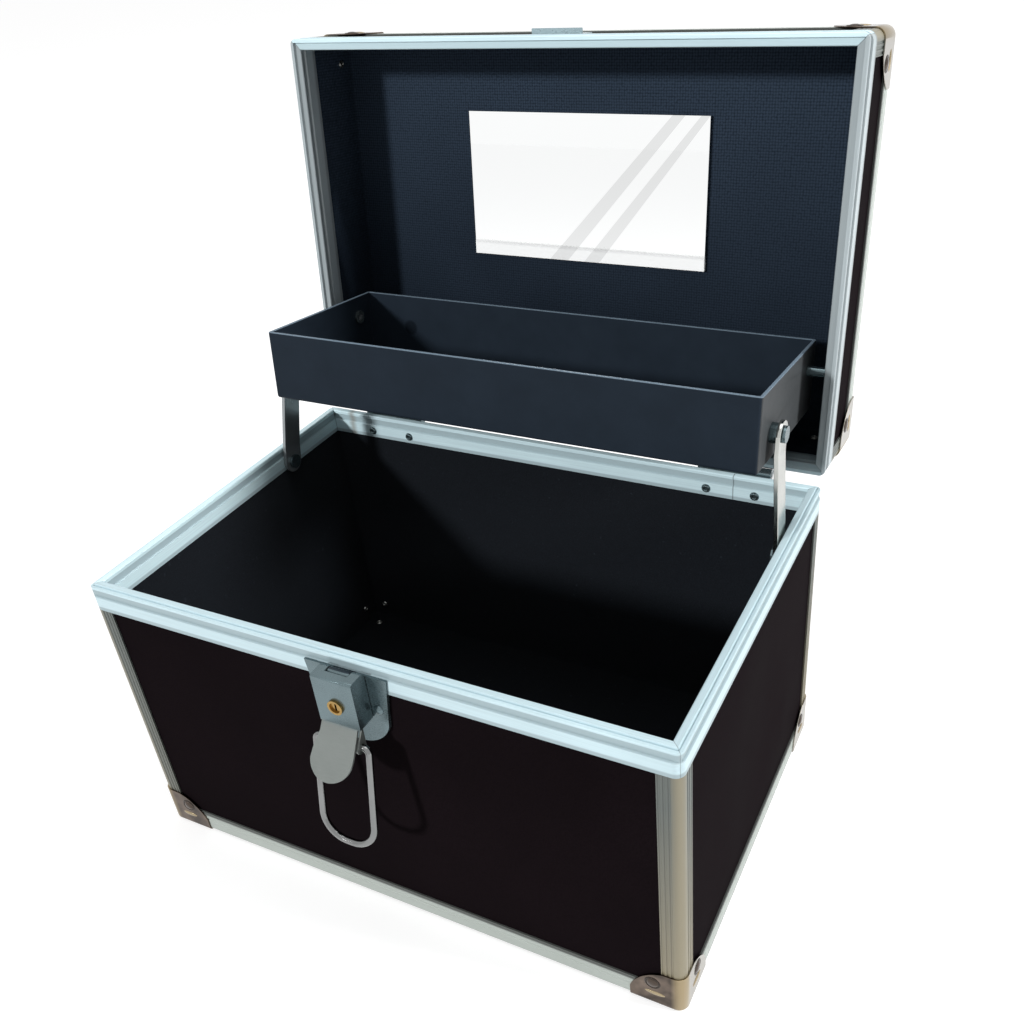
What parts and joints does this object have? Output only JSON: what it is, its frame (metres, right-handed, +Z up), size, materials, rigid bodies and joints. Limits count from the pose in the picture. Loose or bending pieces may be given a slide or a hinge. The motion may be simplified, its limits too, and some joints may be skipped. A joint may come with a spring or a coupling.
{
  "type": "makeup case",
  "caption": "Open makeup case of dark boards in aluminium profiles, with a mirror in the lid, a lift-up tray on arms and a key-locked draw latch.",
  "frame": {"origin": "middle of the base board's underside, on the surface that the case stands on", "axes": "+X to the user's right, +Y to the back where the hinges are, +Z up"},
  "size_m": [0.2814, 0.2845, 0.3373],
  "materials": {
    "board_black": "satin laminate",
    "profile_aluminium": "satin anodised",
    "cap_chrome": "polished",
    "case_felt": "short felt",
    "lid_cloth": "fine weave",
    "mirror_glass": "polished",
    "tray_slate": "satin",
    "arm_steel": "satin",
    "latch_steel": "nickel plated",
    "lock_brass": "polished",
    "handle_black": "moulded"
  },
  "bodies": {
    "case": {"front_panel": "board_black", "back_panel": "board_black", "left_panel": "board_black", "right_panel": "board_black", "base_panel": "board_black", "case_lining": "case_felt", "front_rim": "profile_aluminium", "back_rim": "profile_aluminium", "left_rim": "profile_aluminium", "right_rim": "profile_aluminium", "corner_profiles": "profile_aluminium", "base_profiles": "profile_aluminium", "front_left_cap": "cap_chrome", "front_right_cap": "cap_chrome", "back_left_cap": "cap_chrome", "back_right_cap": "cap_chrome", "left_hinge_lower_leaf": "latch_steel", "right_hinge_lower_leaf": "latch_steel", "hinge_pins": "latch_steel", "arm_studs": "latch_steel", "latch_base": "latch_steel", "latch_pin": "latch_steel"},
    "lid": {"lid_front_panel": "board_black", "lid_back_panel": "board_black", "lid_left_panel": "board_black", "lid_right_panel": "board_black", "lid_top_panel": "board_black", "lid_lining": "lid_cloth", "lid_front_rim": "profile_aluminium", "lid_back_rim": "profile_aluminium", "lid_left_rim": "profile_aluminium", "lid_right_rim": "profile_aluminium", "lid_corner_profiles": "profile_aluminium", "lid_top_profiles": "profile_aluminium", "lid_front_left_cap": "cap_chrome", "lid_front_right_cap": "cap_chrome", "lid_back_left_cap": "cap_chrome", "lid_back_right_cap": "cap_chrome", "left_hinge_upper_leaf": "latch_steel", "right_hinge_upper_leaf": "latch_steel", "lid_studs": "latch_steel", "mirror": "mirror_glass", "lid_catch": "latch_steel", "left_handle_bracket": "latch_steel", "right_handle_bracket": "latch_steel"},
    "tray": {"tray": "tray_slate", "tray_studs": "latch_steel"},
    "left_arm": {"left_arm": "arm_steel"},
    "right_arm": {"right_arm": "arm_steel"},
    "latch_lever": {"latch_lever": "latch_steel"},
    "lock_cylinder": {"lock_cylinder": "lock_brass"},
    "latch_bail": {"latch_bail": "latch_steel"},
    "handle": {"handle": "handle_black"}
  },
  "joints": [
    {"name": "lid_hinge", "type": "hinge", "parent": "case", "child": "lid", "pos_m": [0, 0.096, 0.1487], "axis": [1, 0, 0], "range_deg": [0, 96.7]},
    {"name": "tray_pivot", "type": "hinge", "parent": "lid", "child": "tray", "pos_m": [0, 0.11142, 0.19683], "axis": [1, 0, 0], "range_deg": [-90.5, 1]},
    {"name": "left_arm_pivot", "type": "hinge", "parent": "case", "child": "left_arm", "pos_m": [0, 0.04494, 0.14001], "axis": [1, 0, 0], "range_deg": [-1, 91.5]},
    {"name": "right_arm_pivot", "type": "hinge", "parent": "case", "child": "right_arm", "pos_m": [0, 0.04494, 0.14001], "axis": [1, 0, 0], "range_deg": [-1, 91.5]},
    {"name": "lever_lift", "type": "hinge", "parent": "case", "child": "latch_lever", "pos_m": [0, -0.0964, 0.1438], "axis": [-1, 0, 0], "range_deg": [0, 80]},
    {"name": "bail_swing", "type": "hinge", "parent": "latch_lever", "child": "latch_bail", "pos_m": [0, -0.1043, 0.115], "axis": [-1, 0, 0], "range_deg": [-17, 120]},
    {"name": "key_turn", "type": "hinge", "parent": "latch_lever", "child": "lock_cylinder", "pos_m": [0, -0.103, 0.1323], "axis": [0, -1, 0], "range_deg": [0, 90]},
    {"name": "handle_fold", "type": "hinge", "parent": "lid", "child": "handle", "pos_m": [0, 0.15984, 0.23786], "axis": [1, 0, 0], "range_deg": [-6, 172]}
  ],
  "couplings": [
    {"joint": "tray_pivot", "follows": "lid_hinge", "ratio": -0.9271},
    {"joint": "left_arm_pivot", "follows": "lid_hinge", "ratio": 0.9366},
    {"joint": "right_arm_pivot", "follows": "lid_hinge", "ratio": 0.9366}
  ]
}
